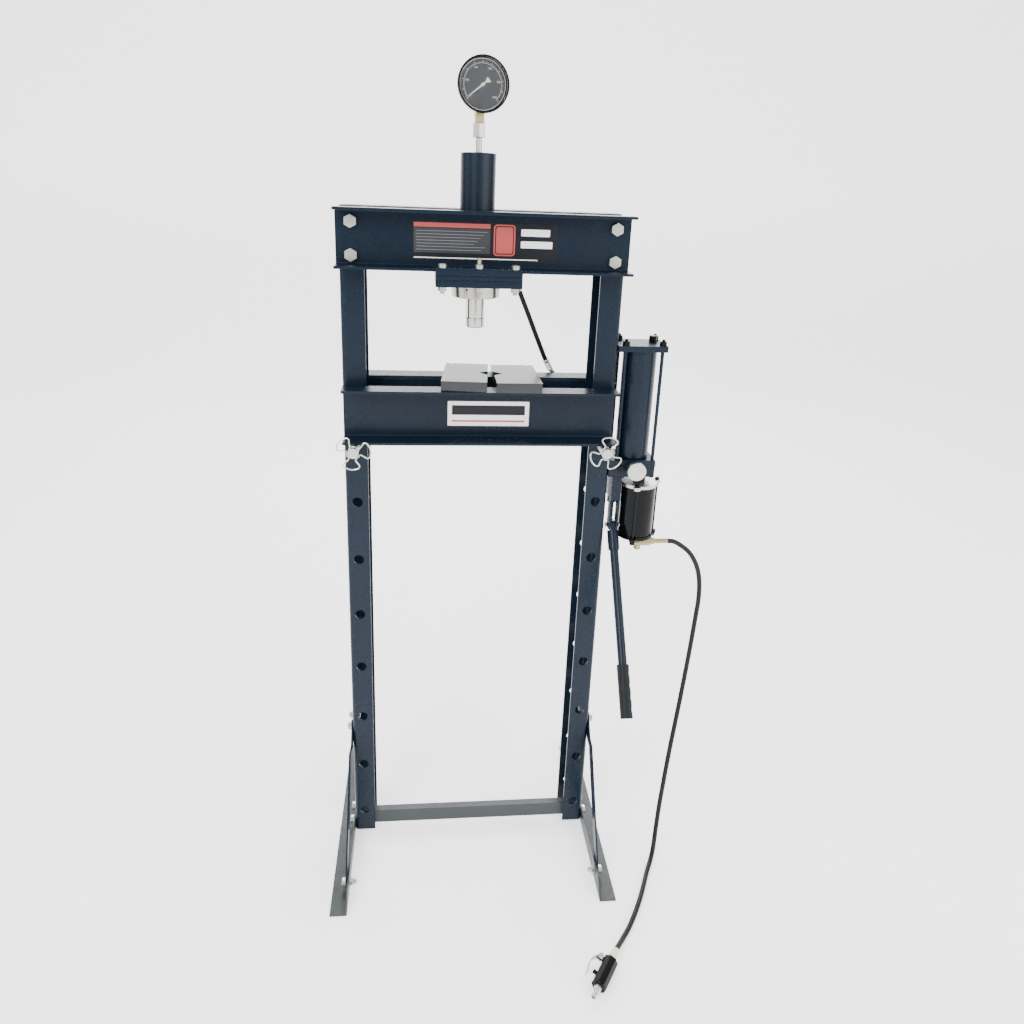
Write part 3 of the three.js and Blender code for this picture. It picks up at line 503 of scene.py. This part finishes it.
HEAD_X = -15
for i, x in enumerate((-74, 0, 74)):
    for end, y in (("front", -110), ("rear", 110)):
        tag = f"clamp_{end}_{i + 1}"
        hexagon(f"{tag}_head", 16, 6.5, at(HEAD_X + x, y, 1469.1), "+Z", "zinc", "head", washer=8)
        if x == 0:
            thread(f"{tag}_stud", 4.9, 12, at(HEAD_X + x, y, 1477.3), "+Z", "zinc", "head", pitch=1.5)
        hexagon(f"{tag}_nut", 16, 8, at(HEAD_X + x, y, 1430.9), "-Z", "zinc", "head")
        thread(f"{tag}_end", 4.9, 4.5, at(HEAD_X + x, y, 1422.8), "-Z", "zinc", "head", pitch=1.5)

# ---------------------------------------------------------------- tie rods of the pump and the air motor

PUMP_X = 361
RODS = [(PUMP_X + side * 42, y) for y in (-35, 35) for side in (-1, 1)]
for i, (x, y) in enumerate(RODS):
    turned(f"reservoir_rod_{i + 1}", [(4, 0), (4, 252.6)], at(x, y, 1038.2), "+Z", "blue_paint", "frame")
    hexagon(f"reservoir_nut_{i + 1}", 15, 8, at(x, y, 1304.6), "+Z", "black_metal", "frame", washer=8.6)
    thread(f"reservoir_rod_end_{i + 1}", 3.9, 4, at(x, y, 1314.3), "+Z", "black_metal", "frame", pitch=1.25)
    seat = [(6.5, 0), (6.5, 2.5), (4.6, 3.4)]
    turned(f"reservoir_seat_{i + 1}", seat, at(x, y, 997.8), "-Z", "black_metal", "frame")

MOTOR = (380.5, -20)
for i, degrees in enumerate((251, 11, 131)):
    x = MOTOR[0] + 47.5 * math.cos(math.radians(degrees))
    y = MOTOR[1] + 47.5 * math.sin(math.radians(degrees))
    turned(f"motor_rod_{i + 1}", [(3.2, 0), (3.2, 121.6)], at(x, y, 850.2), "+Z", "black_metal", "frame")
    hexagon(f"motor_top_nut_{i + 1}", 10, 5, at(x, y, 980.1), "+Z", "black_metal", "frame")
    hexagon(f"motor_low_nut_{i + 1}", 12, 7, at(x, y, 841.9), "-Z", "black_metal", "frame")

hexagon("pump_plug_1", 14, 7, at(408.1, -18, 1020), "+X", "zinc", "frame", washer=8.5)
hexagon("pump_plug_2", 12, 5, at(408.1, 16, 1016), "+X", "zinc", "frame")
hexagon("pump_plug_3", 14, 6, at(326, -45.1, 1020), "-Y", "black_metal", "frame")
turned(
    "exhaust_muffler", [(7, 0), (7, 3), (5.5, 4), (5.5, 12), (4.5, 13.5)], at(366, -22, 841.9), "-Z",
    "ring_steel", "frame",
)
for i, x in enumerate((306.8, 337.2)):
    axis = "-X" if i == 0 else "+X"
    clip = [(6.5, 0), (6.5, 1.4), (5.2, 1.8)]
    turned(f"lever_pin_clip_{i + 1}", clip, at(x, -30, 872), axis, "zinc", "frame")

# ---------------------------------------------------------------- return spring, pressed short by the piston

SPRING = {"turns": 9, "mean": 24, "wire": 1.7, "bottom": 1434.0, "top": 1637.8}
spring_line = []
for i in range(SPRING["turns"] * 24 + 1):
    turn_of_wire = math.radians(15 * i)
    height = SPRING["bottom"] + (SPRING["top"] - SPRING["bottom"]) * i / (SPRING["turns"] * 24)
    spring_line.append(
        at(HEAD_X + SPRING["mean"] * math.cos(turn_of_wire), SPRING["mean"] * math.sin(turn_of_wire), height)
    )
spring = tube_along("return_spring_wire", spring_line, [SPRING["wire"]] * len(spring_line), "spring_steel", 8)
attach(spring, "head")
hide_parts("return_spring")
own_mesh(spring)

# ---------------------------------------------------------------- gauge dial, its scale and the ring round it

GAUGE = at(HEAD_X, 0, 1818)
GAUGE_TURN = Matrix.Rotation(math.radians(12), 4, "Z")


def on_gauge(x, y, z):
    """A place on the gauge in its own millimetres: y is the depth, and the dial faces -y."""
    return GAUGE + (GAUGE_TURN @ Vector((x, y, z))) * MM


def gauge_disc(name, rings_list, finish, sides=72):
    """A flat disc or ring that faces the reader, from (radius, depth) pairs, closed back to its start."""
    points = []
    faces = []
    count = len(rings_list)
    for radius, depth in rings_list:
        for k in range(sides):
            angle = 2 * math.pi * k / sides
            points.append(on_gauge(radius * math.cos(angle), depth, radius * math.sin(angle)))
    for i in range(count):
        for k in range(sides):
            j = (i + 1) % count
            n = (k + 1) % sides
            faces.append((i * sides + k, i * sides + n, j * sides + n, j * sides + k))
    return mesh_piece(name, points, faces, finish, "head")


DIAL = {"front": -18.8, "back": -16.5, "radius": 49.0, "hole": 2.7}
gauge_disc(
    "gauge_dial",
    [
        (DIAL["hole"], DIAL["front"]), (DIAL["hole"], DIAL["back"]),
        (DIAL["radius"], DIAL["back"]), (DIAL["radius"], DIAL["front"]),
    ],
    "dial_face",
)
gauge_disc("gauge_white_ring", [(46.6, -19.0), (46.6, -18.85), (47.8, -18.85), (47.8, -19.0)], "dial_print")


def dial_mark(degrees, inner, outer, width):
    """One mark of the scale, at an angle counted anticlockwise from the right."""
    a = math.radians(degrees)
    radial = Vector((math.cos(a), 0, math.sin(a)))
    across = Vector((-math.sin(a), 0, math.cos(a))) * width / 2
    points = []
    for depth in (-19.0, -18.85):
        for distance, sign in ((inner, -1), (outer, -1), (outer, 1), (inner, 1)):
            v = radial * distance + across * sign
            points.append(on_gauge(v.x, depth, v.z))
    faces = [(0, 1, 2, 3), (7, 6, 5, 4), (0, 4, 5, 1), (1, 5, 6, 2), (2, 6, 7, 3), (3, 7, 4, 0)]
    return points, faces


SCALE = {"start": 222, "sweep": 264, "marks": 51}
scale_points = []
scale_faces = []


def add_mark(degrees, inner, outer, width):
    """Adds one mark to the scale's mesh."""
    corners, sides_of_mark = dial_mark(degrees, inner, outer, width)
    base = len(scale_points)
    scale_points.extend(corners)
    scale_faces.extend(tuple(base + k for k in face) for face in sides_of_mark)


for i in range(SCALE["marks"]):
    long_mark = i % 5 == 0
    degrees = SCALE["start"] - SCALE["sweep"] * i / (SCALE["marks"] - 1)
    add_mark(degrees, 38.6, 43.5 if long_mark else 41.2, 0.8 if long_mark else 0.45)
ARC_STEP = 3  # degrees covered by each piece of the fine arc that the marks stand on
for i in range(SCALE["sweep"] // ARC_STEP):
    add_mark(SCALE["start"] - ARC_STEP * (i + 0.5), 38.4, 38.9, 2.2)
mesh_piece("gauge_scale", scale_points, scale_faces, "dial_print", "head")

for i in range(0, 11, 2):
    degrees = SCALE["start"] - SCALE["sweep"] * i / 10
    text = bpy.data.curves.new(f"gauge_number_{i}", "FONT")
    text.body = str(i * 100)
    text.size = 5 * MM
    text.align_x = "CENTER"
    text.align_y = "CENTER"
    text.extrude = 0.00005
    number = bpy.data.objects.new(f"gauge_number_{i}", text)
    scene.collection.objects.link(number)
    text.materials.append(finishes["dial_print"])
    a = math.radians(degrees)
    place = on_gauge(33 * math.cos(a), -18.95, 33 * math.sin(a))
    number.matrix_world = Matrix.Translation(place) @ GAUGE_TURN @ Matrix.Rotation(math.radians(90), 4, "X")
    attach(number, "head")

# ---------------------------------------------------------------- plain labels in the places of the real ones

LABEL_Y = -49.85
flat_label("head_label_sheet", (-150, 150), (1478, 1555), LABEL_Y, "label_black", 0.2, 2)
flat_label("head_label_band", (-147, 10), (1544, 1553), LABEL_Y - 0.22, "label_red", 0.15)
flat_label("head_label_panel", (-147, 10), (1493, 1542.5), LABEL_Y - 0.22, "label_grey", 0.15)
for i in range(7):
    z = 1537 - i * 6.2
    right = 4 - (i * 37) % 30
    flat_label(f"head_label_line_{i + 1}", (-142, right), (z - 0.9, z), LABEL_Y - 0.4, "label_line", 0.08)
flat_label("head_label_box", (17, 62), (1490, 1553), LABEL_Y - 0.22, "label_red", 0.15, 7)
flat_label("head_label_box_inner", (20, 59), (1493, 1550), LABEL_Y - 0.4, "label_black", 0.08, 5)
flat_label("head_label_box_core", (22, 57), (1495, 1548), LABEL_Y - 0.5, "label_red", 0.08, 4)
for i, (low, high, right) in enumerate(((1531, 1545, 134), (1507, 1521, 140))):
    flat_label(f"head_label_bar_{i + 1}", (74, right), (low, high), LABEL_Y - 0.22, "label_white", 0.15, 1.5)
flat_label("head_label_foot", (-147, 110), (1482, 1484), LABEL_Y - 0.22, "label_white", 0.15)
flat_label("bed_label_edge", (-76, 110), (1118, 1180), LABEL_Y, "label_black", 0.2, 2, body="bed")
flat_label("bed_label_sheet", (-73, 107), (1121, 1177), LABEL_Y - 0.22, "label_white", 0.15, 1.5, body="bed")
flat_label("bed_label_band", (-64, 98), (1146, 1168), LABEL_Y - 0.4, "label_black", 0.08, body="bed")
flat_label("bed_label_rule", (-64, 98), (1130, 1134), LABEL_Y - 0.4, "label_red", 0.08, body="bed")

# ---------------------------------------------------------------- floor, backdrop and light

studio = bpy.data.materials.new("studio_floor")
studio.use_nodes = True
studio_tree, studio_shader = node_finder(studio)
cloud = studio_tree.nodes.new("ShaderNodeTexNoise")
cloud.inputs["Scale"].default_value = 0.6
tone = studio_tree.nodes.new("ShaderNodeMix")
tone.data_type = "RGBA"
tone.inputs[6].default_value = (0.93, 0.93, 0.93, 1)
tone.inputs[7].default_value = (0.96, 0.96, 0.96, 1)
studio_tree.links.new(cloud.outputs["Fac"], tone.inputs[0])
studio_tree.links.new(tone.outputs[2], studio_shader.inputs["Base Color"])
studio_tree.links.new(tone.outputs[2], studio_shader.inputs["Emission Color"])
studio_shader.inputs["Emission Strength"].default_value = 1.1
studio_shader.inputs["Roughness"].default_value = 0.85

# The floor turns up into the backdrop along a quarter circle.
HALF = 9.0
BACK = 5.5
CURVE = 1.6
sweep_profile = [(-9.0, 0.0), (BACK - CURVE, 0.0)]
for k in range(1, 13):
    a = math.pi / 2 * k / 12
    sweep_profile.append((BACK - CURVE + CURVE * math.sin(a), CURVE - CURVE * math.cos(a)))
sweep_profile.append((BACK, 7.0))
floor_points = [(x, y, z) for y, z in sweep_profile for x in (-HALF, HALF)]
floor_faces = [(2 * i, 2 * i + 1, 2 * i + 3, 2 * i + 2) for i in range(len(sweep_profile) - 1)]
floor_mesh = bpy.data.meshes.new("studio_sweep")
floor_mesh.from_pydata(floor_points, [], floor_faces)
for face in floor_mesh.polygons:
    face.use_smooth = True
floor = bpy.data.objects.new("studio_sweep", floor_mesh)
scene.collection.objects.link(floor)
floor_mesh.materials.append(studio)

world = bpy.data.worlds.new("world")
scene.world = world
world.use_nodes = True
world_tree = world.node_tree
# Bright panels stand round the room with dark gaps between them, so that metal shows its shape.
direction = world_tree.nodes.new("ShaderNodeTexCoord")
panels = world_tree.nodes.new("ShaderNodeTexGradient")
panels.gradient_type = "RADIAL"
around = world_tree.nodes.new("ShaderNodeMath")
around.operation = "MULTIPLY"
around.inputs[1].default_value = 14 * math.pi
ripple = world_tree.nodes.new("ShaderNodeMath")
ripple.operation = "SINE"
ramp = world_tree.nodes.new("ShaderNodeValToRGB")
ramp.color_ramp.elements[0].position = 0.2
ramp.color_ramp.elements[0].color = (0.16, 0.17, 0.18, 1)
ramp.color_ramp.elements[1].position = 0.62
ramp.color_ramp.elements[1].color = (1.0, 1.0, 1.0, 1)
shift_up = world_tree.nodes.new("ShaderNodeMath")
shift_up.operation = "MULTIPLY_ADD"
shift_up.inputs[1].default_value = 0.5
shift_up.inputs[2].default_value = 0.5
wire = world_tree.links.new
wire(direction.outputs["Generated"], panels.inputs["Vector"])
wire(panels.outputs["Fac"], around.inputs[0])
wire(around.outputs[0], ripple.inputs[0])
wire(ripple.outputs[0], shift_up.inputs[0])
wire(shift_up.outputs[0], ramp.inputs["Fac"])
# The camera itself sees an even light grey where the backdrop ends.
seen = world_tree.nodes.new("ShaderNodeLightPath")
plain = world_tree.nodes.new("ShaderNodeMix")
plain.data_type = "RGBA"
plain.inputs[7].default_value = (0.95, 0.95, 0.95, 1)
wire(seen.outputs["Is Camera Ray"], plain.inputs[0])
wire(ramp.outputs["Color"], plain.inputs[6])
wire(plain.outputs[2], world_tree.nodes["Background"].inputs["Color"])
world_tree.nodes["Background"].inputs["Strength"].default_value = 2.1


def area_light(name, place, target, size, power):
    data = bpy.data.lights.new(name, "AREA")
    data.shape = "RECTANGLE"
    data.size, data.size_y = size
    data.energy = power
    light = bpy.data.objects.new(name, data)
    light.location = place
    light.rotation_euler = (Vector(target) - Vector(place)).to_track_quat("-Z", "Y").to_euler()
    scene.collection.objects.link(light)


area_light("key", (-2.2, -2.8, 3.4), (0, 0, 1.0), (2.2, 2.2), 170)
area_light("fill", (2.8, -2.4, 2.2), (0, 0, 0.9), (2.4, 2.4), 90)
area_light("back", (0.5, 3.2, 3.6), (0, 0, 1.2), (3.5, 2.0), 160)
